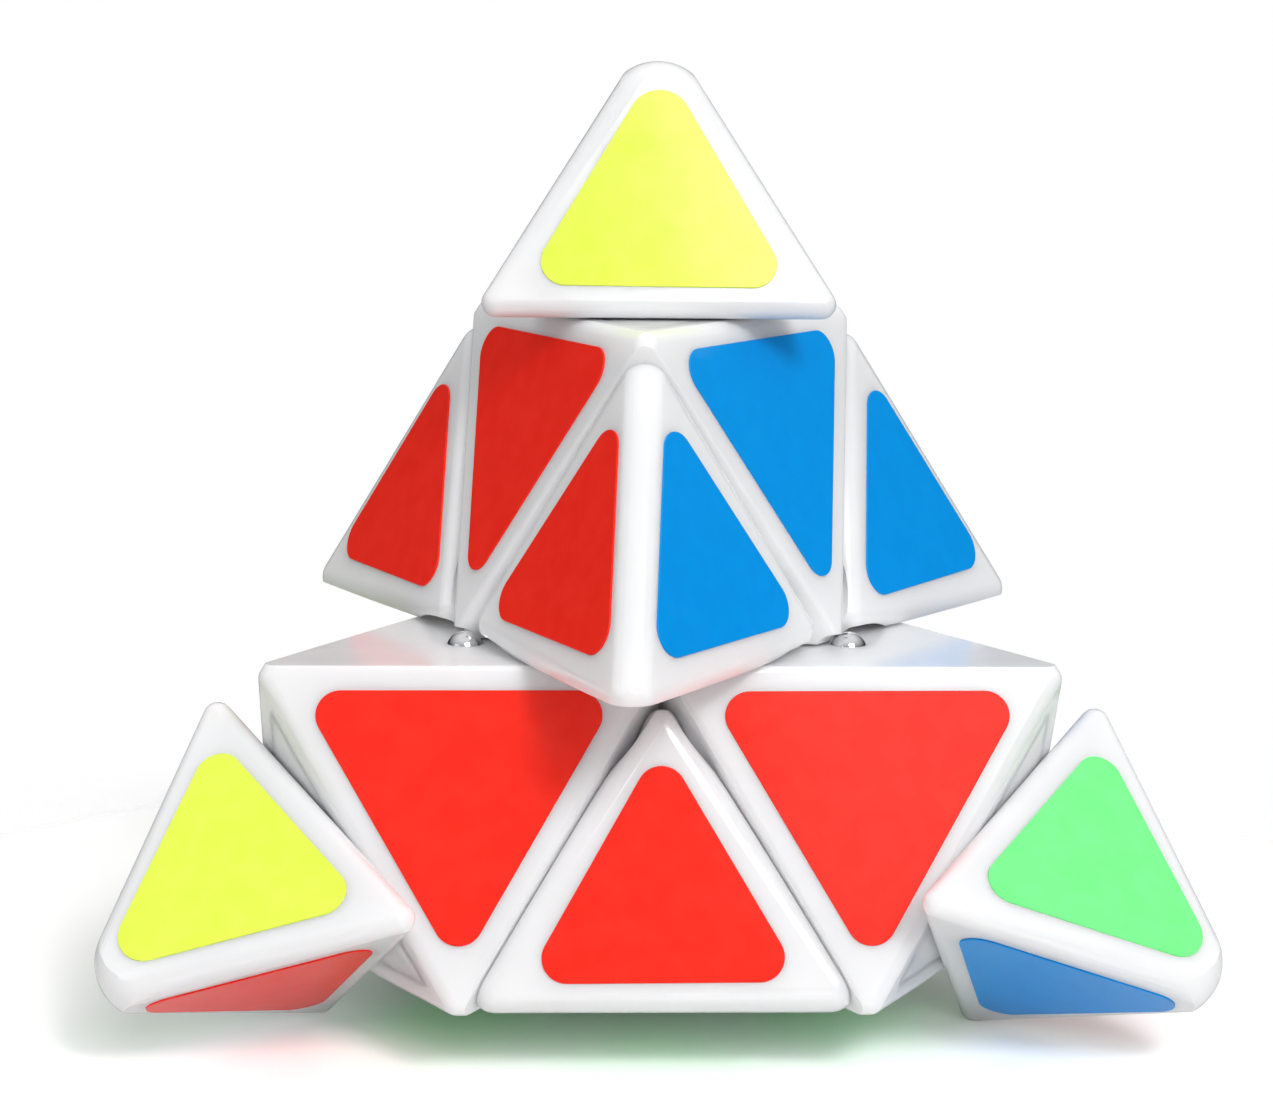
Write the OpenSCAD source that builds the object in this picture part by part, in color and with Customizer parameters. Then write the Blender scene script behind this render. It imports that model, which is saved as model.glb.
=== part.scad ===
// Pyramid twisty puzzle: a regular tetrahedron cut into four tips, four axials and six edge pieces that
// turn about four axes through its centre. All sizes are in millimetres.
//
// The origin is the core's centre, where the four axes meet. +Z is the top layer's axis, the red face
// looks towards -Y, and the green face lies underneath.
//
// "Level" means a distance from the centre along one of the four axes. A point is fixed by its four
// levels, which always add up to zero, so every flat face of every piece is one constant level.

/* [Size] */
// Edge length of the sharp tetrahedron that the solved puzzle fills
edge_len = 98; // [90:1:110]
// Gap between two neighbouring pieces
seam_gap = 0.16; // [0.12:0.02:0.3]

/* [Turns at rest] */
// Angle of the top layer about its axis, from solved
top_turn = -65.2; // [-180:0.1:180]
// Angles of the top, left, right and back tips about their axes, from solved
tip_turns = [119.4, -88.5, 203.7, 34]; // [-180:0.1:210]

/* [Shells] */
// Wall of the outer shells
wall = 1.8; // [1.4:0.1:2]
// Wall behind the faces that slide on the next layer
slide_wall = 2.2; // [2:0.1:2.5]
// Rounding of a tip's outer corner
apex_round = 2.8; // [2.5:0.1:3.6]
// Rounding of a tip's three inner corners
tip_round = 1.2; // [0.9:0.1:1.3]
// Rounding of an edge piece's ridge
ridge_round = 2; // [1.2:0.1:2.4]
// Rounding of an edge piece's two face corners
edge_round = 1.7; // [1:0.1:2]
// Rounding of an axial's edges next to the tip
axial_round = 1.2; // [1:0.1:1.5]
// How far the roundings of an edge piece and of an axial run on past their seams, which cut them off square
seam_run = [1.6, 0.5]; // [0.3:0.1:1.8]

/* [Stickers] */
// Thickness of the vinyl
sticker_t = 0.15; // [0.1:0.05:0.2]
// Sticker size as a share of the facet, on tips, edge pieces and axials
sticker_share = [0.682, 0.678, 0.789]; // [0.6:0.001:0.8]
// Corner radius of a sticker
sticker_round = 2; // [1:0.1:2.5]
// Corner radius of a tip sticker at the pyramid's corner
sticker_apex_round = 2.6; // [2:0.1:3.5]

/* [Mechanism] */
// Outer radius of the ball that the edge feet form
foot_r = 15.85; // [15.6:0.05:16]
// Inner radius of the edge feet
foot_in_r = 12.7; // [12.6:0.1:13]
// Running gap round the feet
foot_gap = 0.3; // [0.2:0.05:0.4]
// Radius at which a foot's neck meets its shell
neck_r = 17.6; // [17.4:0.1:17.8]
// Radius of the core's middle
core_r = 9.5; // [8:0.1:10]
// Radius and height of the core's four bosses
boss = [3.6, 12]; // [3:0.1:12]
// Radius of the axial's stem
stem_r = 3.4; // [3:0.1:3.5]
// Radius of the sleeve that the tip turns on
sleeve_r = 3; // [2.6:0.1:3.1]
// Running clearance of a round fit
fit = 0.06; // [0.03:0.01:0.1]

/* [Fasteners] */
// Radius of the screw's shank
screw_r = 1.5; // [1.25:0.05:1.5]
// Level of the underside of the screw's head
head_level = 42.8; // [42:0.1:43]
// Radius and height of the screw's head
head = [2.7, 1.9]; // [1.5:0.1:2.8]
// Outer radius and thickness of the washer
washer = [3, 0.6]; // [0.4:0.1:3.1]
// Wire radius of the main springs
main_wire = 0.3; // [0.25:0.05:0.35]

/* [Detents] */
// Diameter of the steel balls, an eighth of an inch
ball_d = 3.175; // [3:0.005:3.2]
// Height that a ball stands out of its facet
ball_show = 1; // [0.8:0.05:1.1]
// Depth of the ball's bore
ball_bore_depth = 7.2; // [6.8:0.1:7.4]
// Wire radius of the detent springs
detent_wire = 0.17; // [0.15:0.01:0.2]

/* [Hidden] */
WHITE = [0.93, 0.93, 0.94];
RED = [0.95, 0.2, 0.15];
BLUE = [0.1, 0.5, 0.85];
YELLOW = [0.9, 0.98, 0.35];
GREEN = [0.42, 0.95, 0.5];
STEEL = [0.72, 0.73, 0.75];
NYLON = [0.8, 0.8, 0.78];

CORNERS = ["top", "left", "right", "back"];
EDGES = ["top_left", "top_back", "top_right", "left_right", "right_back", "back_left"];
COLOURS = ["red", "blue", "yellow", "green"];
PAINTS = [RED, BLUE, YELLOW, GREEN];
TOP = 0;

// Each tip's colours at local azimuths 0, 120 and -120, as places in COLOURS
FACE_COLOURS = [[1, 2, 0], [3, 0, 2], [3, 1, 0], [3, 2, 1]];
// Each edge piece's colours on the faces across from local directions 2 and 3
EDGE_COLOURS = [[0, 2], [2, 1], [1, 0], [0, 3], [1, 3], [2, 3]];

// Pieces in the top layer that carry each colour, and pieces of the rest of the puzzle
LOWER_CORNERS = [1, 2, 3];
UPPER_EDGES = [0, 1, 2];
LOWER_EDGES = [3, 4, 5];

TILT = acos(-1 / 3);                  // angle between two of the four axes
AZIMUTHS = [30, -150, -30, 90];       // of the corners' axis frames, about the row's own Z
unit_level = edge_len / sqrt(6) / 6;  // a twelfth of the tetrahedron's height
half_gap = seam_gap / 2;
face_level = -3 * unit_level;         // outer faces
cut = unit_level;                     // between a layer and the rest
tip_cut = 5 * unit_level;             // between a tip and its axial
dome_r = foot_r + foot_gap;           // inside of the axials' domes

facet = edge_len / 3;                 // side of every small triangle
tip_floor = tip_cut + half_gap;
base_t = 2;                           // tip base plate
base_boss = [4.2, 3.5];               // radius, and height over the tip's floor
sleeve_len = 2.4;                     // part of the sleeve that stands in the tip base
cavity_top = 48;                      // highest level of a tip's cavity
screw_end = 4.5;                      // level of the screw's point
tube_wall = 0.85;
ball_r = ball_d / 2;
ball_sink = ball_r - ball_show;       // ball centre under its facet
track_r = facet / sqrt(3) - 0.5;      // radius of the balls' path about a layer's axis
tube_r = ball_r + fit + tube_wall;
lip_clearance = 0.05;
lip_depth = 0.55;
round_fn = 24;
fine_fn = 64;
far = 60;

// Directions of the four axes in an axis frame: along it, then to the corners at azimuths 180, 60, -60
dirs = [[0, 0, 1], for (az = [180, 60, -60]) [sin(TILT) * cos(az), sin(TILT) * sin(az), cos(TILT)]];

function total(list) = [for (v = list) 1] * list;
function unit(v) = v / norm(v);
function spot(levels) = 0.75 * levels * dirs;
function flatten(lists) = [for (l = lists) each l];

// ---- Frames ----

// Axis frame of one corner: Z runs out along its axis, X towards one of its three faces
module at_corner(n) {
  rotate([0, 0, AZIMUTHS[n]])
    rotate([0, n == TOP ? 0 : TILT, 0])
      children();
}

// Undoes at_corner, for a round solid that should keep its poles on the row's own Z
module upright(n) {
  rotate([0, n == TOP ? 0 : -TILT, 0])
    rotate([0, 0, -AZIMUTHS[n]])
      children();
}

// Edge pieces are drawn between directions 0 and 1 of an axis frame
module at_edge(n) {
  upper = n < 3;
  at_corner(upper ? TOP : n - 2)
    rotate([0, 0, upper ? -120 * n : -120])
      children();
}

module with_top_layer() {
  rotate([0, 0, top_turn])
    children();
}

// Puts Z along one of the axis frame's four directions
module along(n) {
  rotate([0, 0, [0, 180, 60, -60][n]])
    rotate([0, n == 0 ? 0 : TILT, 0])
      children();
}

// Frame on an outer face: Z out of the face across from direction n, X towards direction m
module on_face(levels, n, m, sign = 1) {
  z = -dirs[n];
  side = sign * dirs[m];
  x = unit(side - (side * z) * z);
  y = cross(z, x);
  p = spot(levels);
  multmatrix([[x.x, y.x, z.x, p.x], [x.y, y.y, z.y, p.y], [x.z, y.z, z.z, p.z], [0, 0, 0, 1]])
    children();
}

// ---- Solids bounded by levels ----

// Corner of the tetrahedron over four lowest levels, across from face m, with the faces moved in
function tetra_corner(low, m, inset = 0) =
  [for (n = [0:3]) n == m ? low[m] - total(low) - 3 * inset : low[n] + inset];

module sharp_tetra(low) {
  polyhedron(points = [for (m = [0:3]) spot(tetra_corner(low, m))],
             faces = [[1, 3, 2], [0, 2, 3], [0, 3, 1], [0, 1, 2]]);
}

// Tetrahedron over four lowest levels with a ball in each corner
module rounded_tetra(low, radii) {
  hull()
    for (m = [0:3])
      corner_ball(tetra_corner(low, m, radii[m]), radii[m]);
}

module corner_ball(levels, r) {
  translate(spot(levels))
    sphere(r = r, $fn = round_fn);
}

// Everything past a level along one of the four directions, and everything short of it
module past(n, level) {
  along(n)
    translate([0, 0, level])
      cylinder(r = far, h = far, $fn = fine_fn);
}

module short_of(n, level) {
  along(n)
    translate([0, 0, level - far])
      cylinder(r = far, h = far, $fn = fine_fn);
}

// Outside of an edge piece, whose ridge keeps its full rounding up to the seams at both ends
module rounded_edge(low) {
  run_on = seam_run[0] * [1, 1, 0, 0];
  tuck_in = 0.03 * [1, 1, 0, 0];
  difference() {
    hull() {
      for (m = [0, 1])
        corner_ball(tetra_corner(low - run_on, m, ridge_round), ridge_round);
      for (m = [2, 3])
        corner_ball(tetra_corner(low + tuck_in, m, edge_round), edge_round);
    }
    for (n = [0, 1])
      short_of(n, low[n]);
  }
}

// Levels of an axial's six corners, with the faces moved in: three next to the tip, three on the faces.
// With a run, each corner is moved on past the seams instead, and stays on the other faces.
function tip_side_corners(inset, run = 0) =
  [for (m = [1:3]) [tip_cut - half_gap - inset - run,
                    for (n = [1:3]) n == m ? cut - half_gap - inset + run : face_level + half_gap + inset]];

function face_side_corners(inset, run = 0) =
  [for (m = [1:3]) [cut + half_gap + inset - 2 * run,
                    for (n = [1:3]) n == m ? face_level + half_gap + inset : cut - half_gap - inset + run]];

module rounded_axial() {
  t = axial_round;
  run = seam_run[1];
  difference() {
    hull()
      for (levels = concat(tip_side_corners(t), tip_side_corners(t, run), face_side_corners(t, run / 2)))
        corner_ball(levels, t);
    for (n = [1:3])
      past(n, cut - half_gap);
    short_of(0, cut + half_gap);
  }
}

module axial_cavity() {
  polyhedron(points = [for (levels = concat(tip_side_corners(wall), face_side_corners(wall))) spot(levels)],
             faces = [[0, 1, 2], [3, 5, 4], [2, 1, 3], [1, 0, 5], [0, 2, 4], [1, 5, 3], [0, 4, 5], [2, 3, 4]]);
}

// Wedge of the mechanism ball that belongs to an edge piece
module foot_wedge() {
  side = foot_gap / 2;
  out = side + far;
  polyhedron(points = [for (levels = [[side, side, -side, -side],
                                      [side, out, -side, -out],
                                      [side, out, -out, -side],
                                      [out, side, -out, -side],
                                      [out, side, -side, -out]]) spot(levels)],
             faces = [[0, 1, 2], [0, 2, 3], [0, 3, 4], [0, 4, 1], [4, 3, 2, 1]]);
}

// ---- Ball detents ----

// Frame of an axial's ball that looks along direction n: Z out of the facet, zero on the layer's cut
module at_ball(n) {
  levels = [7 / 3, for (m = [1:3]) m == n ? 1 : -5 / 3] * unit_level;
  middle = cut * dirs[n];
  translate(middle + track_r * unit(spot(levels) - middle))
    along(n)
      children();
}

module ball_bore() {
  mouth = -half_gap;
  seat_r = ball_r + fit;
  lip_r = sqrt(ball_r * ball_r - ball_sink * ball_sink) + lip_clearance;
  rotate_extrude($fn = fine_fn)
    polygon([[0, mouth - ball_bore_depth], [seat_r, mouth - ball_bore_depth], [seat_r, mouth - lip_depth],
             [lip_r, mouth], [lip_r, mouth + 1], [0, mouth + 1]]);
}

module detent_ball(n) {
  at_ball(n)
    translate([0, 0, -half_gap - ball_sink])
      sphere(d = ball_d, $fn = fine_fn);
}

module detent_spring(n) {
  bottom = -half_gap - ball_bore_depth;
  length = ball_bore_depth - ball_sink - ball_r;
  at_ball(n)
    translate([0, 0, bottom])
      coil(radius = 1.15, wire = detent_wire, length = length, turns = 4, steps = 9, sides = 4);
}

// Closed helix of round wire standing on Z = 0, its first and last turns dipping into the length
module coil(radius, wire, length, turns, steps, sides) {
  count = turns * steps;
  rise = length - 2 * wire;
  rings = [for (k = [0:count])
             let (a = 360 * k / steps, z = wire + rise * k / count)
             for (s = [0:sides - 1])
               let (b = 360 * (s + 0.5) / sides, r = radius + wire * cos(b))
               [r * cos(a), r * sin(a), z + wire * sin(b)]];
  skin = [for (k = [0:count - 1], s = [0:sides - 1])
            let (a = k * sides + s, b = k * sides + (s + 1) % sides)
            each [[a, b, b + sides], [a, b + sides, a + sides]]];
  polyhedron(points = rings,
             faces = concat([[for (s = [sides - 1:-1:0]) s]], skin, [[for (s = [0:sides - 1]) count * sides + s]]));
}

// Path that the balls of the next layer follow, cut in the face that slides on them
module ball_track(n) {
  along(n)
    rotate_extrude($fn = fine_fn)
      translate([track_r, cut - half_gap - ball_sink])
        circle(r = ball_r + 0.1, $fn = fine_fn);
}

// ---- Stickers ----

module sticker(kind, apex_round = sticker_round) {
  reach = sticker_share[kind] * facet / sqrt(3);
  linear_extrude(sticker_t)
    hull()
      for (k = [0:2]) {
        r = k == 0 ? apex_round : sticker_round;
        rotate(120 * k)
          translate([reach - 2 * r, 0])
            circle(r = r, $fn = round_fn);
      }
}

// The sticker on a tip's or an axial's face at local azimuth 120 * k
module tip_sticker(k) {
  rotate([0, 0, 120 * k])
    on_face([19 / 3, -3, -5 / 3, -5 / 3] * unit_level, 1, 0)
      sticker(0, sticker_apex_round);
}

module axial_sticker(k) {
  levels = [11 / 3, -3, -1 / 3, -1 / 3] * unit_level;
  rotate([0, 0, 120 * k])
    translate(half_gap * dirs[1])
      on_face(levels, 1, 0, -1)
        sticker(2);
}

// The sticker on an edge piece's face across from direction 2 or 3
module edge_sticker(n) {
  other = 5 - n;
  levels = [7 / 3, 7 / 3, for (m = [2, 3]) m == n ? -3 : -5 / 3] * unit_level;
  on_face(levels, n, other)
    sticker(1);
}

// Every sticker of one colour on the given axials and edge pieces
module body_stickers(colour, corners, edges) {
  color(PAINTS[colour]) {
    for (n = corners, k = [0:2])
      if (FACE_COLOURS[n][k] == colour)
        at_corner(n)
          axial_sticker(k);
    for (n = edges, k = [0, 1])
      if (EDGE_COLOURS[n][k] == colour)
        at_edge(n)
          edge_sticker(k + 2);
  }
}

// ---- Sub-parts ----

module core() {
  color(NYLON)
    difference() {
      union() {
        sphere(r = core_r, $fn = fine_fn);
        for (n = [0:3])
          at_corner(n)
            cylinder(r = boss[0], h = boss[1], $fn = fine_fn);
      }
      for (n = [0:3])
        at_corner(n)
          translate([0, 0, screw_end - 0.3])
            cylinder(r = screw_r - 0.1, h = boss[1], $fn = fine_fn);
    }
}

module core_screws() {
  slot = [3.4, 0.7, 0.9];
  color(STEEL)
    for (n = [0:3])
      at_corner(n)
        difference() {
          union() {
            translate([0, 0, screw_end])
              cylinder(r = screw_r, h = head_level - screw_end + 0.5, $fn = fine_fn);
            translate([0, 0, head_level])
              cylinder(r = head[0], h = head[1], $fn = fine_fn);
          }
          for (a = [0, 90])
            rotate([0, 0, a])
              translate([0, 0, head_level + head[1]])
                cube([slot.x, slot.y, 2 * slot.z], center = true);
        }
}

module core_washers() {
  color(STEEL)
    for (n = [0:3])
      at_corner(n)
        translate([0, 0, head_level - washer[1]])
          difference() {
            cylinder(r = washer[0], h = washer[1], $fn = fine_fn);
            translate([0, 0, -1])
              cylinder(r = screw_r + fit, h = washer[1] + 2, $fn = fine_fn);
          }
}

module main_springs() {
  seat = tip_floor + base_boss[1] + 0.1;
  color(STEEL)
    for (n = [0:3])
      at_corner(n)
        translate([0, 0, seat])
          coil(radius = 2.2, wire = main_wire, length = head_level - washer[1] - seat,
               turns = 4, steps = 14, sides = 6);
}

// Walls, dome over the edge feet, and ball tubes
module axial_walls(corner) {
  difference() {
    rounded_axial();
    difference() {
      axial_cavity();
      upright(corner)
        sphere(r = neck_r, $fn = fine_fn);
      for (n = [1:3])
        at_ball(n)
          translate([0, 0, -half_gap - ball_bore_depth - 1])
            cylinder(r = tube_r, h = ball_bore_depth + 1, $fn = fine_fn);
    }
    upright(corner)
      sphere(r = dome_r, $fn = fine_fn);
    ball_track(0);
    translate([0, 0, tip_cut - wall - 1])
      linear_extrude(wall + 1)
        lid_outline();
  }
}

// Triangle of the lid under the tip, a little smaller than the axial's cavity
module lid_outline() {
  reach = facet / sqrt(3) - 4.4;
  polygon([for (az = [180, 60, -60]) reach * [cos(az), sin(az)]]);
}

// Stem down to the core, and the sleeve that the tip turns on
module axial_stem() {
  bottom = boss[1] + 0.1;
  translate([0, 0, bottom])
    cylinder(r = stem_r, h = tip_cut - half_gap - bottom, $fn = fine_fn);
  translate([0, 0, tip_cut - 3])
    cylinder(r = sleeve_r, h = half_gap + 3 + sleeve_len - 0.2, $fn = fine_fn);
}

module axial_body(corner) {
  color(WHITE)
    difference() {
      difference() {
        union() {
          axial_walls(corner);
          axial_stem();
        }
        cylinder(r = screw_r + fit, h = far, $fn = fine_fn);
      }
      for (n = [1:3])
        at_ball(n)
          ball_bore();
    }
}

module axial_lid() {
  color(WHITE)
    translate([0, 0, tip_cut - half_gap - wall])
      linear_extrude(wall)
        difference() {
          lid_outline();
          circle(r = stem_r + fit, $fn = fine_fn);
        }
}

module edge_shell() {
  low = [cut + half_gap, cut + half_gap, face_level, face_level];
  color(WHITE)
    difference() {
      rounded_edge(low);
      sharp_tetra(low + [slide_wall, slide_wall, wall, wall]);
      sphere(r = neck_r, $fn = fine_fn);
      for (n = [0, 1])
        ball_track(n);
    }
}

module edge_foot() {
  low = [cut + half_gap, cut + half_gap, face_level, face_level];
  color(NYLON)
    difference() {
      intersection() {
        foot_wedge();
        union() {
          sphere(r = foot_r, $fn = fine_fn);
          intersection() {
            sharp_tetra(low);
            sphere(r = neck_r, $fn = fine_fn);
          }
        }
      }
      sphere(r = foot_in_r, $fn = fine_fn);
    }
}

function tip_cavity_low() = [tip_floor - 1, face_level + wall, face_level + wall, face_level + wall];

module tip_cap() {
  color(WHITE)
    difference() {
      rounded_tetra([tip_floor, face_level, face_level, face_level], [apex_round, tip_round, tip_round, tip_round]);
      intersection() {
        sharp_tetra(tip_cavity_low());
        cylinder(r = far, h = cavity_top, $fn = fine_fn);
      }
    }
}

module tip_base() {
  color(WHITE)
    difference() {
      union() {
        intersection() {
          sharp_tetra(tip_cavity_low());
          translate([0, 0, tip_floor])
            cylinder(r = far, h = base_t, $fn = fine_fn);
        }
        translate([0, 0, tip_floor])
          cylinder(r = base_boss[0], h = base_boss[1], $fn = fine_fn);
      }
      translate([0, 0, tip_floor - 1])
        cylinder(r = sleeve_r + fit, h = 1 + sleeve_len, $fn = fine_fn);
      cylinder(r = screw_r + fit, h = far, $fn = fine_fn);
    }
}

// ---- The sub-parts in their places ----

// The part of the puzzle that a corner's axial belongs to
module with_corner(n) {
  if (n == TOP)
    with_top_layer()
      at_corner(n)
        children();
  else
    at_corner(n)
      children();
}

module with_edge(n) {
  if (n < 3)
    with_top_layer()
      at_edge(n)
        children();
  else
    at_edge(n)
      children();
}

module turned_tip(n) {
  at_corner(n)
    rotate([0, 0, tip_turns[n]])
      children();
}

module tip_stickers(n, k) {
  color(PAINTS[FACE_COLOURS[n][k]])
    turned_tip(n)
      tip_sticker(k);
}

module lower_stickers(colour) {
  body_stickers(colour, LOWER_CORNERS, LOWER_EDGES);
}

module top_stickers(colour) {
  with_top_layer()
    body_stickers(colour, [TOP], UPPER_EDGES);
}

// A lower axial's ball that looks at the top layer, across from the corner's own direction 1
module top_ball(n) {
  color(STEEL)
    at_corner(n)
      detent_ball(1);
}

module top_ball_springs() {
  color(STEEL)
    for (n = LOWER_CORNERS)
      at_corner(n)
        detent_spring(1);
}

// The lower axials' other balls, which stay seated in the lower edge pieces
module lower_balls() {
  color(STEEL)
    for (n = LOWER_CORNERS, m = [2, 3])
      at_corner(n)
        detent_ball(m);
}

module lower_ball_springs() {
  color(STEEL)
    for (n = LOWER_CORNERS, m = [2, 3])
      at_corner(n)
        detent_spring(m);
}

// The top axial's balls, which turn with the top layer
module upper_balls() {
  color(STEEL)
    for (m = [1:3])
      with_corner(TOP)
        detent_ball(m);
}

module upper_ball_springs() {
  color(STEEL)
    for (m = [1:3])
      with_corner(TOP)
        detent_spring(m);
}

core();
core_screws();
core_washers();
main_springs();
for (n = [0:3]) {
  with_corner(n) axial_body(n);
  with_corner(n) axial_lid();
  turned_tip(n) tip_cap();
  turned_tip(n) tip_base();
}
for (n = [0:5]) {
  with_edge(n) edge_shell();
  with_edge(n) edge_foot();
}
for (c = [0:3])
  lower_stickers(c);
for (c = [0:2])
  top_stickers(c);
for (n = [0:3], k = [0:2])
  tip_stickers(n, k);
for (n = LOWER_CORNERS)
  top_ball(n);
top_ball_springs();
lower_balls();
lower_ball_springs();
upper_balls();
upper_ball_springs();
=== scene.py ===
"""Pyramid twisty puzzle on a glossy white table.

Fine shells, stickers and steel balls replace the CAD's. The mechanism inside stays the CAD's own.
"""

import math
import random

import bmesh
import bpy
from mathutils import Matrix, Vector


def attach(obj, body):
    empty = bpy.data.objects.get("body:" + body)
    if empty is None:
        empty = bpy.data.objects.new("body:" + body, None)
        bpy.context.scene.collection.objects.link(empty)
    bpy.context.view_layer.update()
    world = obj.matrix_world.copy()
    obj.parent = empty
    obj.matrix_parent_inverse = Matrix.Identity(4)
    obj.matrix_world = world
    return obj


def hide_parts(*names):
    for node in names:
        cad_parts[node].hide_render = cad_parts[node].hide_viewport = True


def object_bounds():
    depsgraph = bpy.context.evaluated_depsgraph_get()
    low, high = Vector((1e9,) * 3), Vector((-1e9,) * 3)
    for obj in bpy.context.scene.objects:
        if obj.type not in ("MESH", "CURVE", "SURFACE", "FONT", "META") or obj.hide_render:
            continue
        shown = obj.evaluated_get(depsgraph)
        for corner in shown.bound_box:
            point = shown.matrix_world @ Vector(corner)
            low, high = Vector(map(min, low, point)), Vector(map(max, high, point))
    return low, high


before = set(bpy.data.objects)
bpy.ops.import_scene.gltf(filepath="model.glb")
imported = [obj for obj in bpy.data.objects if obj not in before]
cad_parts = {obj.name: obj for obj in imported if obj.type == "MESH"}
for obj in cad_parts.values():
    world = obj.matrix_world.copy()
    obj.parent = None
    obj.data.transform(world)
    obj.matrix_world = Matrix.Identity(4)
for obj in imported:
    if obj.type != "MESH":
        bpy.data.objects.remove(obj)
cad_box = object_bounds()
MM = 0.001
random.seed(7)

# ---- Sizes as in the part, in millimetres and degrees ----
EDGE_LEN = 98.0
SEAM_GAP = 0.16
TOP_TURN = -65.2
TIP_TURNS = {"top": 119.4, "left": -88.5, "right": 203.7, "back": 34.0}
WALL = 1.8
SLIDE_WALL = 2.2
TIP_ROUND = 1.2
RIDGE_ROUND = 2.0
EDGE_ROUND = 1.7
AXIAL_ROUND = 1.2
EDGE_RUN = 1.6
AXIAL_RUN = 0.5
STICKER_T = 0.15
STICKER_SHARE = {"tip": 0.682, "edge": 0.678, "axial": 0.789}
STICKER_ROUND = 2.0
STICKER_APEX_ROUND = 2.6
DOME_R = 16.15
NECK_R = 17.6
BALL_R = 3.175 / 2
BALL_SHOW = 1.0
BALL_SHIFT = 0.5
BALL_BORE_DEPTH = 7.2
TUBE_WALL = 0.85
TUBE_END = 1
STEM_R = 3.4
SLEEVE_R = 3.0
SLEEVE_TOP = 2.2
SLEEVE_ROOT = 3
STEM_BOTTOM = 12.1
SCREW_R = 1.5
FIT = 0.06
LID_INSET = 4.4
CAVITY_TOP = 48.0

# ---- Sizes of the finer shapes made here ----
TIP_RIDGE = 2.1
APEX_CAP = 4.6
CAP_OUT = 1.1
CAP_DROP = 4
SEAM_ROUND = 0.2
FACE_PROUD = 0.02
SEAM_TUCK = 0.03
LIP_EASE = 0.05
LIP_DEPTH = 0.55
PATH_CLEAR = 0.1
STICKER_RIM = 0.06
STICKER_SLIP = 0.12
STICKER_TWIST = 0.5
PAST = 1
THROUGH = 60
SLAB_TOP = 90

# ---- Sizes that follow ----
UNIT = EDGE_LEN / math.sqrt(6) / 6
HALF_GAP = SEAM_GAP / 2
FACE = -3 * UNIT
CUT = UNIT
TIP_CUT = 5 * UNIT
FACET = EDGE_LEN / 3
TRACK_R = FACET / math.sqrt(3) - BALL_SHIFT
BALL_SINK = BALL_R - BALL_SHOW
TILT = math.acos(-1 / 3)

# ---- Table and camera, in metres unless a name says otherwise ----
TABLE_HALF = 3.0
TABLE_TONE = 0.95
BOUNCE_TONE = 0.45
FADE_NEAR = 0.062
FADE_FAR = 0.105
CAMERA_LENS_MM = 95.6
CAMERA_SPOT_MM = (-13.19, -283.74, 60.47)
CAMERA_RIGHT = (0.99916, -0.03983, 0.01008)
CAMERA_VIEW = (0.0409, 0.9854, -0.1653)
KEY_SIDE = (0.3, -0.74, 0.6)

CORNERS = ["top", "left", "right", "back"]
EDGES = ["top_left", "top_back", "top_right", "left_right", "right_back", "back_left"]
FACE_COLOURS = {
    "top": ["blue", "yellow", "red"],
    "left": ["green", "red", "yellow"],
    "right": ["green", "blue", "red"],
    "back": ["green", "yellow", "blue"],
}
EDGE_COLOURS = {
    "top_left": ["red", "yellow"],
    "top_back": ["yellow", "blue"],
    "top_right": ["blue", "red"],
    "left_right": ["red", "green"],
    "right_back": ["blue", "green"],
    "back_left": ["yellow", "green"],
}


def direction(polar, azimuth):
    across = math.sin(polar)
    return Vector((across * math.cos(azimuth), across * math.sin(azimuth), math.cos(polar)))


AZIMUTHS = [math.radians(a) for a in (180, 60, -60)]
DIRS = [Vector((0, 0, 1))] + [direction(TILT, a) for a in AZIMUTHS]


def spot(levels):
    """The point at these four distances along the axes, in an axis frame."""
    return 0.75 * sum((DIRS[n] * levels[n] for n in range(4)), Vector((0, 0, 0)))


# ---- Places ----
def turn_z(degrees):
    return Matrix.Rotation(math.radians(degrees), 4, "Z")


def along(n):
    """Turns Z to one of an axis frame's four directions."""
    if n == 0:
        return Matrix.Identity(4)
    return Matrix.Rotation(AZIMUTHS[n - 1], 4, "Z") @ Matrix.Rotation(TILT, 4, "Y")


def corner_place(name):
    n = CORNERS.index(name)
    tilt = Matrix.Rotation(TILT if n else 0, 4, "Y")
    return turn_z([30, -150, -30, 90][n]) @ tilt


def edge_place(name):
    n = EDGES.index(name)
    corner = "top" if n < 3 else CORNERS[n - 2]
    return corner_place(corner) @ turn_z(-120 * n if n < 3 else -120)


def layer_turn(name):
    """Turn of the layer that an axial or edge piece rides in."""
    return turn_z(TOP_TURN) if name.startswith("top") else Matrix.Identity(4)


def layer_body(name):
    return "top_layer" if name.startswith("top") else "puzzle_base"


def tip_place(name):
    return corner_place(name) @ turn_z(TIP_TURNS[name])


def ball_place(n):
    """Frame of an axial's ball that looks along direction n, zero on the layer's cut."""
    levels = [7 / 3 * UNIT] + [UNIT if m == n else -5 / 3 * UNIT for m in (1, 2, 3)]
    middle = CUT * DIRS[n]
    reach = TRACK_R * (spot(levels) - middle).normalized()
    return Matrix.Translation(middle + reach) @ along(n)


def face_place(levels, n, m, sign=1):
    """Frame on the outer face across from direction n, X towards direction m."""
    z = -DIRS[n]
    side = sign * DIRS[m]
    x = (side - side.dot(z) * z).normalized()
    y = z.cross(x)
    rows = Matrix((x, y, z)).transposed().to_4x4()
    return Matrix.Translation(spot(levels)) @ rows


# ---- Mesh makers, in millimetres ----
def add_object(name, data):
    made = bpy.data.objects.new(name, data)
    bpy.context.scene.collection.objects.link(made)
    return made


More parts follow.
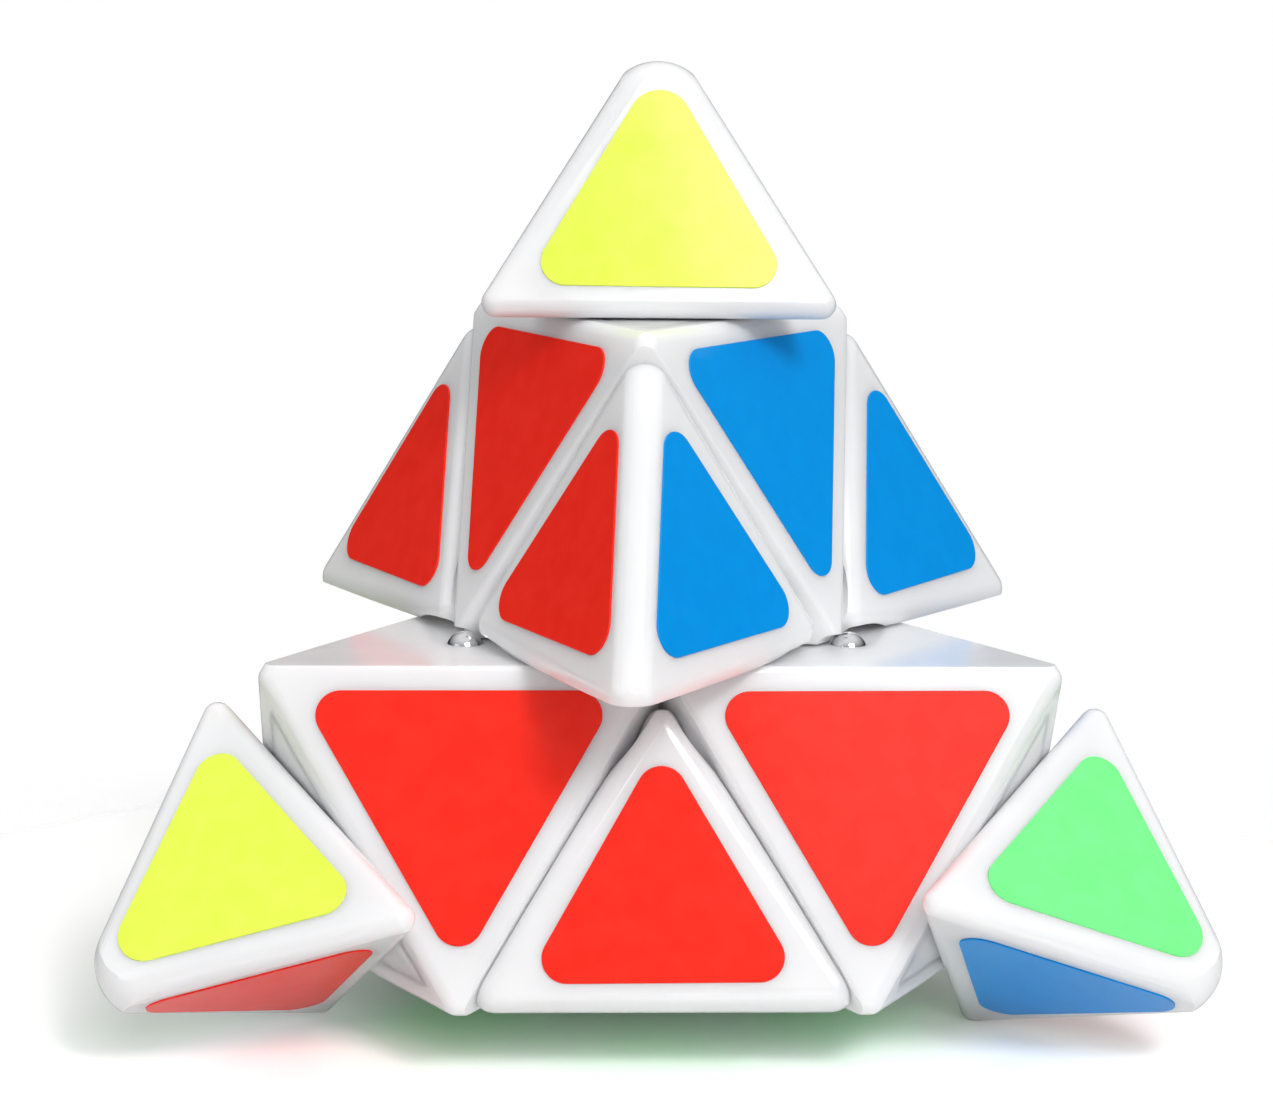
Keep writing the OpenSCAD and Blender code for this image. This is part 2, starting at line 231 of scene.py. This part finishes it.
def applied(holder, extras=()):
    """The mesh that an object's modifiers make. The object and any extras are removed."""
    bpy.context.view_layer.update()
    graph = bpy.context.evaluated_depsgraph_get()
    result = bpy.data.meshes.new_from_object(holder.evaluated_get(graph))
    for used in [*extras, holder]:
        bpy.data.objects.remove(used)
    return result


def new_mesh(name, points, faces):
    mesh = bpy.data.meshes.new(name)
    mesh.from_pydata([tuple(p) for p in points], [], faces)
    mesh.validate()
    bm = bmesh.new()
    bm.from_mesh(mesh)
    bmesh.ops.remove_doubles(bm, verts=bm.verts, dist=1e-4)
    bmesh.ops.recalc_face_normals(bm, faces=bm.faces)
    bm.to_mesh(mesh)
    bm.free()
    return mesh


def slerp(a, b, t):
    angle = a.angle(b)
    if angle < 1e-6:
        return a.copy()
    return (math.sin((1 - t) * angle) * a + math.sin(t * angle) * b) / math.sin(angle)


def rounded_solid(name, centres, radii, faces, normals, steps=10):
    """Convex solid with ball corners.

    It takes the balls' centres, one radius each, faces as loops of centres and their normals.
    """
    points = []
    polys = []
    middle = sum(centres, Vector((0, 0, 0))) / len(centres)

    def add(point):
        points.append(point)
        return len(points) - 1

    for number, loop in enumerate(faces):
        polys.append([add(centres[i] + normals[number] * radii[i]) for i in loop])
    pairs = {}
    for number, loop in enumerate(faces):
        for i, j in zip(loop, loop[1:] + loop[:1]):
            pairs.setdefault(frozenset((i, j)), []).append(number)
    for pair, (f, g) in pairs.items():
        i, j = sorted(pair)
        rows = []
        for s in range(steps + 1):
            way = slerp(normals[f], normals[g], s / steps)
            rows.append([add(centres[k] + way * radii[k]) for k in (i, j)])
        for (p, q), (r, s) in zip(rows, rows[1:]):
            polys.append([p, q, s, r])
    for i, centre in enumerate(centres):
        ring = [number for number, loop in enumerate(faces) if i in loop]
        axis = (centre - middle).normalized()
        side = axis.orthogonal().normalized()
        up = axis.cross(side)
        ring.sort(key=lambda f: math.atan2(normals[f].dot(up), normals[f].dot(side)))
        corners = [normals[f] for f in ring]
        if len(corners) == 3:
            polys += ball_triangle(add, centre, radii[i], corners, steps)
        else:
            polys += ball_square(add, centre, radii[i], corners, steps)
    return new_mesh(name, points, polys)


def ball_triangle(add, centre, radius, corners, steps):
    rows = []
    for s in range(steps + 1):
        left = slerp(corners[0], corners[1], s / steps)
        right = slerp(corners[0], corners[2], s / steps)
        rows.append([add(centre + radius * slerp(left, right, k / s if s else 0))
                     for k in range(s + 1)])
    polys = []
    for upper, lower in zip(rows, rows[1:]):
        for k in range(len(upper)):
            polys.append([upper[k], lower[k], lower[k + 1]])
            if k:
                polys.append([upper[k - 1], lower[k], upper[k]])
    return polys


def ball_square(add, centre, radius, corners, steps):
    rows = []
    for s in range(steps + 1):
        left = slerp(corners[0], corners[3], s / steps)
        right = slerp(corners[1], corners[2], s / steps)
        rows.append([add(centre + radius * slerp(left, right, k / steps))
                     for k in range(steps + 1)])
    return [[a[k], a[k + 1], b[k + 1], b[k]]
            for a, b in zip(rows, rows[1:]) for k in range(steps)]


def tetra_corner(low, m, inset=0.0):
    return [low[m] - sum(low) - 3 * inset if n == m else low[n] + inset for n in range(4)]


TETRA_FACES = [[1, 3, 2], [0, 2, 3], [0, 3, 1], [0, 1, 2]]


def rounded_tetra(name, low, radii):
    centres = [spot(tetra_corner(low, m, radii[m])) for m in range(4)]
    return rounded_solid(name, centres, radii, TETRA_FACES, [-way for way in DIRS])


def sharp_tetra(name, low):
    return new_mesh(name, [spot(tetra_corner(low, m)) for m in range(4)], TETRA_FACES)


AXIAL_FACES = [[0, 1, 2], [3, 5, 4], [2, 1, 3], [1, 0, 5],
               [0, 2, 4], [1, 5, 3], [0, 4, 5], [2, 3, 4]]


def axial_corners(inset, out=0.0, tip_run=0.0, face_run=0.0):
    """The axial's six corners, moved in from its faces.

    Its outer faces can be pushed out, and its corners run on past the seams.
    """
    side = CUT - HALF_GAP - inset
    face = FACE + HALF_GAP + inset - out
    near = [[side + tip_run if n == m else face for n in (1, 2, 3)] for m in (1, 2, 3)]
    far = [[face if n == m else side + face_run for n in (1, 2, 3)] for m in (1, 2, 3)]
    return [spot([-sum(levels)] + levels) for levels in near + far]


def nearest_ways(corners, ways):
    """The direction among those given that each of the axial's faces looks in."""
    found = []
    for loop in AXIAL_FACES:
        a, b, c = (corners[i] for i in loop)
        normal = (b - a).cross(c - a).normalized()
        if normal.dot(a - sum(corners, Vector((0, 0, 0))) / 6) < 0:
            normal = -normal
        found.append(max(ways, key=normal.dot))
    return found


def hull_solid(name, balls, normals, rings=20):
    """Convex solid round balls of one centre and radius each, with true flats along the normals."""
    spread = [Vector((0, 0, 1)), Vector((0, 0, -1))] + normals
    for k in range(1, rings):
        for j in range(2 * rings):
            spread.append(direction(math.pi * k / rings, math.pi * j / rings))
    bm = bmesh.new()
    for centre, radius in balls:
        for way in spread:
            bm.verts.new(centre + radius * way)
    hull = bmesh.ops.convex_hull(bm, input=bm.verts)
    left_over = hull["geom_interior"] + hull["geom_unused"]
    spare = {v for v in left_over if isinstance(v, bmesh.types.BMVert)}
    bmesh.ops.delete(bm, geom=list(spare), context="VERTS")
    bmesh.ops.recalc_face_normals(bm, faces=bm.faces)
    mesh = bpy.data.meshes.new(name)
    bm.to_mesh(mesh)
    bm.free()
    return mesh


def lathe(name, profile, segments=72, closed=False):
    """Turns a profile of (radius, height) points about Z. A closed profile makes a ring."""
    points = []
    count = len(profile)
    for s in range(segments):
        a = 2 * math.pi * s / segments
        points += [(r * math.cos(a), r * math.sin(a), z) for r, z in profile]
    faces = []
    last = count if closed else count - 1
    for s in range(segments):
        t = (s + 1) % segments
        for k in range(last):
            n = (k + 1) % count
            faces.append([s * count + k, t * count + k, t * count + n, s * count + n])
    return new_mesh(name, points, faces)


def rod(name, radius, bottom, top, segments=72):
    return lathe(name, [(0, bottom), (radius, bottom), (radius, top), (0, top)], segments)


def ball(name, radius, segments=96):
    rings = segments // 2
    profile = [(radius * math.sin(math.pi * k / rings), -radius * math.cos(math.pi * k / rings))
               for k in range(rings + 1)]
    return lathe(name, profile, segments)


def prism(name, outline, bottom, top):
    count = len(outline)
    points = [(x, y, bottom) for x, y in outline] + [(x, y, top) for x, y in outline]
    faces = [list(range(count))[::-1], list(range(count, 2 * count))]
    faces += [[k, (k + 1) % count, (k + 1) % count + count, k + count] for k in range(count)]
    return new_mesh(name, points, faces)


def moved(mesh, place):
    copy = mesh.copy()
    copy.transform(place)
    return copy


def carve(mesh, tools, operation="DIFFERENCE"):
    """Boolean of one mesh with several others, in turn."""
    base = add_object("carve_base", mesh)
    cutters = []
    for tool in tools:
        cutter = add_object("carve_tool", tool)
        cutters.append(cutter)
        step = base.modifiers.new("carve", "BOOLEAN")
        step.operation = operation
        step.solver = "MANIFOLD"
        step.object = cutter
    return applied(base, cutters)


def smooth(mesh, angle=32):
    """Smooth shading with sharp edges above the angle, and flats that stay flat."""
    for poly in mesh.polygons:
        poly.use_smooth = True
    mesh.set_sharp_from_angle(angle=math.radians(angle))
    holder = add_object("smooth", mesh)
    weighted = holder.modifiers.new("weighted", "WEIGHTED_NORMAL")
    weighted.mode = "FACE_AREA"
    weighted.weight = 60
    weighted.keep_sharp = True
    return applied(holder)


def place_piece(name, mesh, place, body, material, slot, *nodes):
    """A piece made from a millimetre mesh, in place on its body."""
    copy = moved(mesh, Matrix.Scale(MM, 4) @ place)
    copy.name = name
    copy.materials.clear()
    copy.materials.append(material)
    piece = add_object(name, copy)
    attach(piece, body)
    if nodes:
        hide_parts(*nodes)


# ---- Materials ----
def node(tree, kind, **inputs):
    made = tree.nodes.new(kind)
    for key, value in inputs.items():
        made.inputs[key.replace("_", " ")].default_value = value
    return made


def surface(name, colour, roughness, metallic=0.0, ior=1.5):
    material = bpy.data.materials.new(name)
    material.use_nodes = True
    shader = material.node_tree.nodes["Principled BSDF"]
    shader.inputs["Base Color"].default_value = (*colour, 1)
    shader.inputs["Roughness"].default_value = roughness
    shader.inputs["Metallic"].default_value = metallic
    shader.inputs["IOR"].default_value = ior
    return material, material.node_tree, shader


def vary(tree, shader, socket, low, high, scale, detail=3.0, stretch=None):
    """Noise in object space that moves one value of the shader between two limits."""
    where = tree.nodes.new("ShaderNodeTexCoord")
    noise = node(tree, "ShaderNodeTexNoise", Scale=scale, Detail=detail, Roughness=0.55)
    spread = node(tree, "ShaderNodeMapRange", To_Min=low, To_Max=high)
    spread.inputs["From Min"].default_value = 0.3
    spread.inputs["From Max"].default_value = 0.7
    source = where.outputs["Object"]
    if stretch:
        squeeze = tree.nodes.new("ShaderNodeMapping")
        squeeze.inputs["Scale"].default_value = stretch
        tree.links.new(source, squeeze.inputs["Vector"])
        source = squeeze.outputs["Vector"]
    tree.links.new(source, noise.inputs["Vector"])
    tree.links.new(noise.outputs["Fac"], spread.inputs["Value"])
    tree.links.new(spread.outputs["Result"], shader.inputs[socket])


def tint(tree, shader, first, second, scale, detail=2.0):
    """Soft patches between two close colours."""
    where = tree.nodes.new("ShaderNodeTexCoord")
    noise = node(tree, "ShaderNodeTexNoise", Scale=scale, Detail=detail)
    ramp = tree.nodes.new("ShaderNodeValToRGB")
    ramp.color_ramp.elements[0].position = 0.35
    ramp.color_ramp.elements[0].color = (*first, 1)
    ramp.color_ramp.elements[1].position = 0.65
    ramp.color_ramp.elements[1].color = (*second, 1)
    tree.links.new(where.outputs["Object"], noise.inputs["Vector"])
    tree.links.new(noise.outputs["Fac"], ramp.inputs["Fac"])
    tree.links.new(ramp.outputs["Color"], shader.inputs["Base Color"])


def relief(tree, shader, layers):
    """Bump from several noises: (scale, height in millimetres, detail) each."""
    where = tree.nodes.new("ShaderNodeTexCoord")
    last = None
    for scale, height, detail in layers:
        noise = node(tree, "ShaderNodeTexNoise", Scale=scale, Detail=detail)
        bump = node(tree, "ShaderNodeBump", Strength=1.0, Distance=height * MM)
        tree.links.new(where.outputs["Object"], noise.inputs["Vector"])
        tree.links.new(noise.outputs["Fac"], bump.inputs["Height"])
        if last:
            tree.links.new(last.outputs["Normal"], bump.inputs["Normal"])
        last = bump
    tree.links.new(last.outputs["Normal"], shader.inputs["Normal"])


def white_plastic():
    material, tree, shader = surface("white_plastic", (0.86, 0.86, 0.87), 0.16, ior=1.52)
    tint(tree, shader, (0.865, 0.865, 0.875), (0.9, 0.9, 0.91), 60)
    vary(tree, shader, "Roughness", 0.11, 0.22, 220, 5)
    relief(tree, shader, [(70, 0.02, 1), (900, 0.0012, 3)])
    shader.inputs["Subsurface Weight"].default_value = 0.7
    shader.inputs["Subsurface Radius"].default_value = (1.0, 0.95, 0.9)
    shader.inputs["Subsurface Scale"].default_value = 0.003
    return material


def inner_plastic():
    material, tree, shader = surface("inner_plastic", (0.5, 0.5, 0.48), 0.5)
    tint(tree, shader, (0.46, 0.46, 0.44), (0.56, 0.56, 0.54), 90)
    vary(tree, shader, "Roughness", 0.4, 0.6, 400, 4)
    relief(tree, shader, [(1500, 0.006, 4)])
    return material


def vinyl(name, dark, light):
    material, tree, shader = surface(name, light, 0.3, ior=1.28)
    tint(tree, shader, dark, light, 500, 4)
    vary(tree, shader, "Roughness", 0.09, 0.14, 350, 4)
    relief(tree, shader, [(110, 0.012, 1), (450, 0.004, 2)])
    return material


def steel(name, colour, low, high, scratch=None):
    material, tree, shader = surface(name, colour, low, metallic=1.0)
    tint(tree, shader, tuple(0.9 * c for c in colour), colour, 300)
    vary(tree, shader, "Roughness", low, high, 800, 5, scratch)
    relief(tree, shader, [(2500, 0.0006, 3)])
    return material


WHITE = white_plastic()
INNER = inner_plastic()
VINYL = {
    "red": vinyl("vinyl_red", (0.95, 0.024, 0.012), (0.98, 0.03, 0.016)),
    "blue": vinyl("vinyl_blue", (0.001, 0.285, 0.77), (0.001, 0.3, 0.8)),
    "yellow": vinyl("vinyl_yellow", (0.78, 0.96, 0.08), (0.81, 0.98, 0.1)),
    "green": vinyl("vinyl_green", (0.18, 0.94, 0.25), (0.2, 0.97, 0.28)),
}
BALL_STEEL = steel("polished_steel", (0.75, 0.76, 0.78), 0.05, 0.14)
SCREW_STEEL = steel("zinc_steel", (0.6, 0.61, 0.63), 0.25, 0.45, (1, 1, 4))
SPRING_STEEL = steel("spring_steel", (0.5, 0.51, 0.53), 0.2, 0.35)


# ---- White shells ----
def ball_path(n):
    """Ring that clears the next layer's balls in a sliding face."""
    level = CUT - HALF_GAP - BALL_SINK
    radius = BALL_R + PATH_CLEAR
    ring = [(TRACK_R + radius * math.cos(a), level + radius * math.sin(a))
            for a in (2 * math.pi * k / 32 for k in range(32))]
    return moved(lathe("ball_path", ring, 144, closed=True), along(n))


def ball_bore(n):
    mouth = -HALF_GAP
    bottom = mouth - BALL_BORE_DEPTH
    lip = math.sqrt(BALL_R ** 2 - BALL_SINK ** 2) + LIP_EASE
    seat = BALL_R + FIT
    flare = [(lip, mouth - LIP_EASE), (lip + 0.22, mouth + 0.12), (lip + 0.4, mouth + PAST)]
    profile = [(0, bottom), (seat, bottom), (seat, mouth - LIP_DEPTH), *flare, (0, mouth + PAST)]
    return moved(lathe("ball_bore", profile, 48), ball_place(n))


def lid_outline():
    reach = FACET / math.sqrt(3) - LID_INSET
    return [(reach * math.cos(a), reach * math.sin(a)) for a in AZIMUTHS][::-1]


def axial_outside():
    """Rounded block that its seams cut off, with only a fine radius left there."""
    near = axial_corners(AXIAL_ROUND)[:3]
    centres = near + axial_corners(AXIAL_ROUND, 0, AXIAL_RUN, AXIAL_RUN / 2)
    ways = [way for n in range(4) for way in (DIRS[n], -DIRS[n])]
    block = hull_solid("axial", [(centre, AXIAL_ROUND) for centre in centres], ways)
    corners = axial_corners(SEAM_ROUND, FACE_PROUD)
    normals = nearest_ways(corners, ways)
    trim = rounded_solid("axial_trim", corners, [SEAM_ROUND] * 6, AXIAL_FACES, normals, 5)
    return carve(block, [trim], "INTERSECT")


def axial_mesh():
    tube_bottom = -HALF_GAP - BALL_BORE_DEPTH - TUBE_END
    tubes = [moved(rod("tube", BALL_R + FIT + TUBE_WALL, tube_bottom, -HALF_GAP, 40), ball_place(n))
             for n in (1, 2, 3)]
    cavity = new_mesh("cavity", axial_corners(WALL), AXIAL_FACES)
    hollow = carve(cavity, [ball("neck_ball", NECK_R)] + tubes)
    outside = axial_outside()
    lid_hole = prism("lid_hole", lid_outline(), TIP_CUT - WALL - PAST, TIP_CUT + PAST)
    walls = carve(outside, [hollow, ball("dome_ball", DOME_R, 128), ball_path(0), lid_hole])
    top = TIP_CUT - HALF_GAP
    stem = rod("stem", STEM_R, STEM_BOTTOM, top)
    sleeve = rod("sleeve", SLEEVE_R, top - SLEEVE_ROOT, TIP_CUT + SLEEVE_TOP)
    whole = carve(walls, [stem, sleeve], "UNION")
    bores = [rod("screw_bore", SCREW_R + FIT, 0, THROUGH)] + [ball_bore(n) for n in (1, 2, 3)]
    return smooth(carve(whole, bores))


def lid_mesh():
    top = TIP_CUT - HALF_GAP
    plate = prism("lid", lid_outline(), top - WALL, top)
    return smooth(carve(plate, [rod("lid_bore", STEM_R + FIT, 0, THROUGH)]))


def edge_mesh():
    low = [CUT + HALF_GAP, CUT + HALF_GAP, FACE, FACE]
    run_on = [low[0] - EDGE_RUN, low[1] - EDGE_RUN, FACE, FACE]
    tucked = [low[0] + SEAM_TUCK, low[1] + SEAM_TUCK, FACE, FACE]
    balls = [(spot(tetra_corner(run_on, m, RIDGE_ROUND)), RIDGE_ROUND) for m in (0, 1)]
    balls += [(spot(tetra_corner(tucked, m, EDGE_ROUND)), EDGE_ROUND) for m in (2, 3)]
    block = hull_solid("edge", balls, [-way for way in DIRS])
    proud = FACE - FACE_PROUD
    trim = rounded_tetra("edge_trim", [low[0], low[1], proud, proud], [SEAM_ROUND] * 4)
    outside = carve(block, [trim], "INTERSECT")
    walls = [SLIDE_WALL, SLIDE_WALL, WALL, WALL]
    cavity = sharp_tetra("edge_cavity", [a + b for a, b in zip(low, walls)])
    tools = [cavity, ball("neck_ball", NECK_R, 128), ball_path(0), ball_path(1)]
    return smooth(carve(outside, tools))


def tip_mesh():
    floor = TIP_CUT + HALF_GAP
    block = rounded_tetra("tip", [floor, FACE, FACE, FACE], [TIP_RIDGE] + [TIP_ROUND] * 3)
    wide = [floor - CAP_DROP] + [FACE - CAP_OUT] * 3
    balls = [(spot(tetra_corner(wide, 0, APEX_CAP)), APEX_CAP)]
    balls += [(spot(tetra_corner(wide, m)), 0.1) for m in (1, 2, 3)]
    cap = hull_solid("tip_cap", balls, [-way for way in DIRS[1:]], 32)
    outside = carve(block, [cap], "INTERSECT")
    cavity = sharp_tetra("tip_cavity", [floor - PAST] + [FACE + WALL] * 3)
    cavity = carve(cavity, [rod("slab", THROUGH, CAVITY_TOP, SLAB_TOP)])
    return smooth(carve(outside, [cavity]))


def make_shells():
    axial, lid, edge, tip = axial_mesh(), lid_mesh(), edge_mesh(), tip_mesh()
    white = (WHITE, "white_shell")
    for name in CORNERS:
        place = layer_turn(name) @ corner_place(name)
        body = layer_body(name)
        place_piece(f"axial_{name}", axial, place, body, *white, f"axial_body_{name}")
        place_piece(f"lid_{name}", lid, place, body, *white, f"axial_lid_{name}")
        place_piece(f"tip_{name}", tip, tip_place(name), f"tip_{name}", *white, f"tip_cap_{name}")
    for name in EDGES:
        place = layer_turn(name) @ edge_place(name)
        place_piece(f"edge_{name}", edge, place, layer_body(name), *white, f"edge_shell_{name}")


# ---- Stickers ----
def sticker_mesh(kind, apex_round=STICKER_ROUND, steps=14):
    """Rounded triangle of vinyl, its first corner on +X, with a soft rim."""
    reach = STICKER_SHARE[kind] * FACET / math.sqrt(3)
    rim = STICKER_RIM
    levels = [(0.0, 0.0), (0.0, STICKER_T - rim), (rim * 0.3, STICKER_T - rim * 0.3),
              (rim, STICKER_T)]
    rings = []
    for inset, height in levels:
        ring = []
        for k in range(3):
            radius = apex_round if k == 0 else STICKER_ROUND
            middle = 2 * math.pi * k / 3
            centre = (reach - 2 * radius) * Vector((math.cos(middle), math.sin(middle)))
            for s in range(steps + 1):
                a = middle + math.radians(60) * (2 * s / steps - 1)
                x, y = centre + (radius - inset) * Vector((math.cos(a), math.sin(a)))
                ring.append((x, y, height))
        rings.append(ring)
    count = len(rings[0])
    points = [p for ring in rings for p in ring]
    faces = [list(range(count))[::-1], list(range(len(points) - count, len(points)))]
    for start in range(0, (len(rings) - 1) * count, count):
        for k in range(count):
            n = (k + 1) % count
            faces.append([start + k, start + n, start + count + n, start + count + k])
    return smooth(new_mesh(f"sticker_{kind}", points, faces), 50)


def laid_by_hand():
    """A small slip and twist, as each sticker is put on by hand."""
    x = random.uniform(-STICKER_SLIP, STICKER_SLIP)
    y = random.uniform(-STICKER_SLIP, STICKER_SLIP)
    return Matrix.Translation((x, y, 0)) @ turn_z(random.uniform(-STICKER_TWIST, STICKER_TWIST))


def place_sticker(name, mesh, place, body, colour, node_name):
    place = place @ laid_by_hand()
    place_piece(name, mesh, place, body, VINYL[colour], f"vinyl_{colour}", node_name)


def layer_stickers(name, colour):
    """CAD node that holds all of a layer's stickers of one colour."""
    return f"top_stickers_{colour}" if name.startswith("top") else f"lower_stickers_{colour}"


def make_stickers():
    tip = sticker_mesh("tip", STICKER_APEX_ROUND)
    axial = sticker_mesh("axial")
    edge = sticker_mesh("edge")
    tip_face = face_place([19 / 3 * UNIT, FACE, -5 / 3 * UNIT, -5 / 3 * UNIT], 1, 0)
    axial_face = (Matrix.Translation(HALF_GAP * DIRS[1])
                  @ face_place([11 / 3 * UNIT, FACE, -UNIT / 3, -UNIT / 3], 1, 0, -1))
    for name in CORNERS:
        for k, colour in enumerate(FACE_COLOURS[name]):
            face = turn_z(120 * k)
            place_sticker(f"tip_{name}_{colour}", tip, tip_place(name) @ face @ tip_face,
                          f"tip_{name}", colour, f"tip_sticker_{name}_{colour}")
            place_sticker(f"axial_{name}_{colour}", axial,
                          layer_turn(name) @ corner_place(name) @ face @ axial_face,
                          layer_body(name), colour, layer_stickers(name, colour))
    for name in EDGES:
        for k, colour in enumerate(EDGE_COLOURS[name]):
            outer = [FACE, -5 / 3 * UNIT] if k == 0 else [-5 / 3 * UNIT, FACE]
            face = face_place([7 / 3 * UNIT, 7 / 3 * UNIT] + outer, 2 + k, 3 - k)
            place_sticker(f"edge_{name}_{colour}", edge,
                          layer_turn(name) @ edge_place(name) @ face,
                          layer_body(name), colour, layer_stickers(name, colour))


# ---- Steel balls ----
def make_balls():
    sphere = smooth(ball("ball", BALL_R, 64))
    seat = Matrix.Translation((0, 0, -HALF_GAP - BALL_SINK))
    for name in CORNERS:
        for n in (1, 2, 3):
            place = layer_turn(name) @ corner_place(name) @ ball_place(n) @ seat
            if name == "top":
                body, group = "top_layer", "upper_balls"
            elif n == 1:
                body, group = f"ball_{name}", f"detent_ball_{name}"
            else:
                body, group = "puzzle_base", "lower_balls"
            place_piece(f"ball_{name}_{n}", sphere, place, body, BALL_STEEL, "ball_steel", group)


# ---- CAD nodes that stay ----
def dress_cad_nodes():
    finish = {"core": INNER, "core_screws": SCREW_STEEL, "core_washers": SCREW_STEEL}
    for name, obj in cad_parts.items():
        if name.endswith("_springs"):
            material = SPRING_STEEL
        elif name.startswith("edge_foot"):
            material = INNER
        else:
            material = finish.get(name, WHITE)
        obj.material_slots[0].material = material


# ---- Table, light and camera ----
def make_floor():
    low = cad_box[0][2]
    far = TABLE_HALF
    points = [(-far, -far, low), (far, -far, low), (far, far, low), (-far, far, low)]
    mesh = new_mesh("table_top", points, [[0, 1, 2, 3]])
    floor = add_object("table_top", mesh)
    material, tree, shader = surface("table_gloss", (TABLE_TONE,) * 3, 0.12, ior=1.6)
    vary(tree, shader, "Roughness", 0.1, 0.14, 40, 2)
    dim_bounce(tree, shader)
    thin_out(tree, shader, FADE_NEAR, FADE_FAR)
    mesh.materials.append(material)
    return floor


def dim_bounce(tree, shader):
    """Keeps the white table from lighting the puzzle's underside too strongly."""
    rays = tree.nodes.new("ShaderNodeLightPath")
    tone = tree.nodes.new("ShaderNodeValToRGB")
    tone.color_ramp.elements[0].color = (*[BOUNCE_TONE] * 3, 1)
    tone.color_ramp.elements[1].color = (*[TABLE_TONE] * 3, 1)
    tree.links.new(rays.outputs["Is Camera Ray"], tone.inputs["Fac"])
    tree.links.new(tone.outputs["Color"], shader.inputs["Base Color"])


def thin_out(tree, shader, near, far):
    """Lets the table thin out into the white studio away from the puzzle."""
    where = tree.nodes.new("ShaderNodeTexCoord")
    length = tree.nodes.new("ShaderNodeVectorMath")
    length.operation = "LENGTH"
    spread = node(tree, "ShaderNodeMapRange", From_Min=near, From_Max=far)
    spread.interpolation_type = "SMOOTHSTEP"
    clear = tree.nodes.new("ShaderNodeBsdfTransparent")
    mix = tree.nodes.new("ShaderNodeMixShader")
    tree.links.new(where.outputs["Object"], length.inputs[0])
    tree.links.new(length.outputs["Value"], spread.inputs["Value"])
    tree.links.new(spread.outputs["Result"], mix.inputs["Fac"])
    tree.links.new(shader.outputs["BSDF"], mix.inputs[1])
    tree.links.new(clear.outputs["BSDF"], mix.inputs[2])
    tree.links.new(mix.outputs["Shader"], tree.nodes["Material Output"].inputs["Surface"])


def area_light(name, side, distance, size, level, height=None):
    """Soft light towards the puzzle. Level is what it adds to a white surface that faces it."""
    data = bpy.data.lights.new(name, "AREA")
    data.shape = "RECTANGLE"
    data.size = size
    data.size_y = height or size
    data.energy = level * (math.pi * distance) ** 2
    light = add_object(name, data)
    light.location = Vector(side).normalized() * distance
    light.rotation_euler = Vector(side).to_track_quat("Z", "Y").to_euler()
    return light


def make_world():
    """White studio, brighter overhead, with its own levels for reflections and for the camera."""
    world = bpy.data.worlds.new("studio")
    bpy.context.scene.world = world
    world.use_nodes = True
    tree = world.node_tree
    tree.nodes["Background"].inputs["Color"].default_value = (1, 1, 1, 1)
    where = tree.nodes.new("ShaderNodeTexCoord")
    split = tree.nodes.new("ShaderNodeSeparateXYZ")
    tree.links.new(where.outputs["Generated"], split.inputs["Vector"])
    rays = tree.nodes.new("ShaderNodeLightPath")
    sky = node(tree, "ShaderNodeMapRange", From_Min=0.0, From_Max=0.9, To_Min=0.42, To_Max=0.84)
    room = node(tree, "ShaderNodeMapRange", From_Min=0.2, From_Max=0.9, To_Min=0.04, To_Max=0.9)
    for level in (sky, room):
        tree.links.new(split.outputs["Z"], level.inputs["Value"])
    source = sky.outputs["Result"]
    for flag, level in (("Is Glossy Ray", room.outputs["Result"]), ("Is Camera Ray", None)):
        pick = tree.nodes.new("ShaderNodeMix")
        pick.inputs["B"].default_value = 1.0
        tree.links.new(rays.outputs[flag], pick.inputs["Factor"])
        tree.links.new(source, pick.inputs["A"])
        if level:
            tree.links.new(level, pick.inputs["B"])
        source = pick.outputs["Result"]
    tree.links.new(source, tree.nodes["Background"].inputs["Strength"])


def make_lights(floor):
    area_light("key", KEY_SIDE, 0.8, 0.2, level=0.35)
    area_light("softbox", KEY_SIDE, 0.84, 0.46, level=0.16)
    sheen = area_light("sheen", (0.26, -0.714, 0.649), 0.82, 0.4, level=0.6, height=0.28)
    sheen.visible_diffuse = False
    sheen.visible_transmission = False
    area_light("left_fill", (-0.8, -0.5, 0.35), 0.9, 0.5, level=0.06)
    table_fill = area_light("table_fill", (0.15, -0.95, 0.45), 0.9, 0.5, level=1.1)
    lit = bpy.data.collections.new("table_only")
    lit.objects.link(floor)
    table_fill.light_linking.receiver_collection = lit


def make_camera():
    data = bpy.data.cameras.new("camera")
    data.sensor_width = 36
    data.lens = CAMERA_LENS_MM
    right = Vector(CAMERA_RIGHT).normalized()
    view = Vector(CAMERA_VIEW).normalized()
    facing = Matrix((right, right.cross(view), -view)).transposed().to_4x4()
    camera = add_object("camera", data)
    camera.matrix_world = Matrix.Translation(Vector(CAMERA_SPOT_MM) * MM) @ facing
    bpy.context.scene.camera = camera


make_camera()
make_shells()
make_stickers()
make_balls()
dress_cad_nodes()
table = make_floor()
make_world()
make_lights(table)
bpy.context.scene.view_settings.view_transform = "Standard"
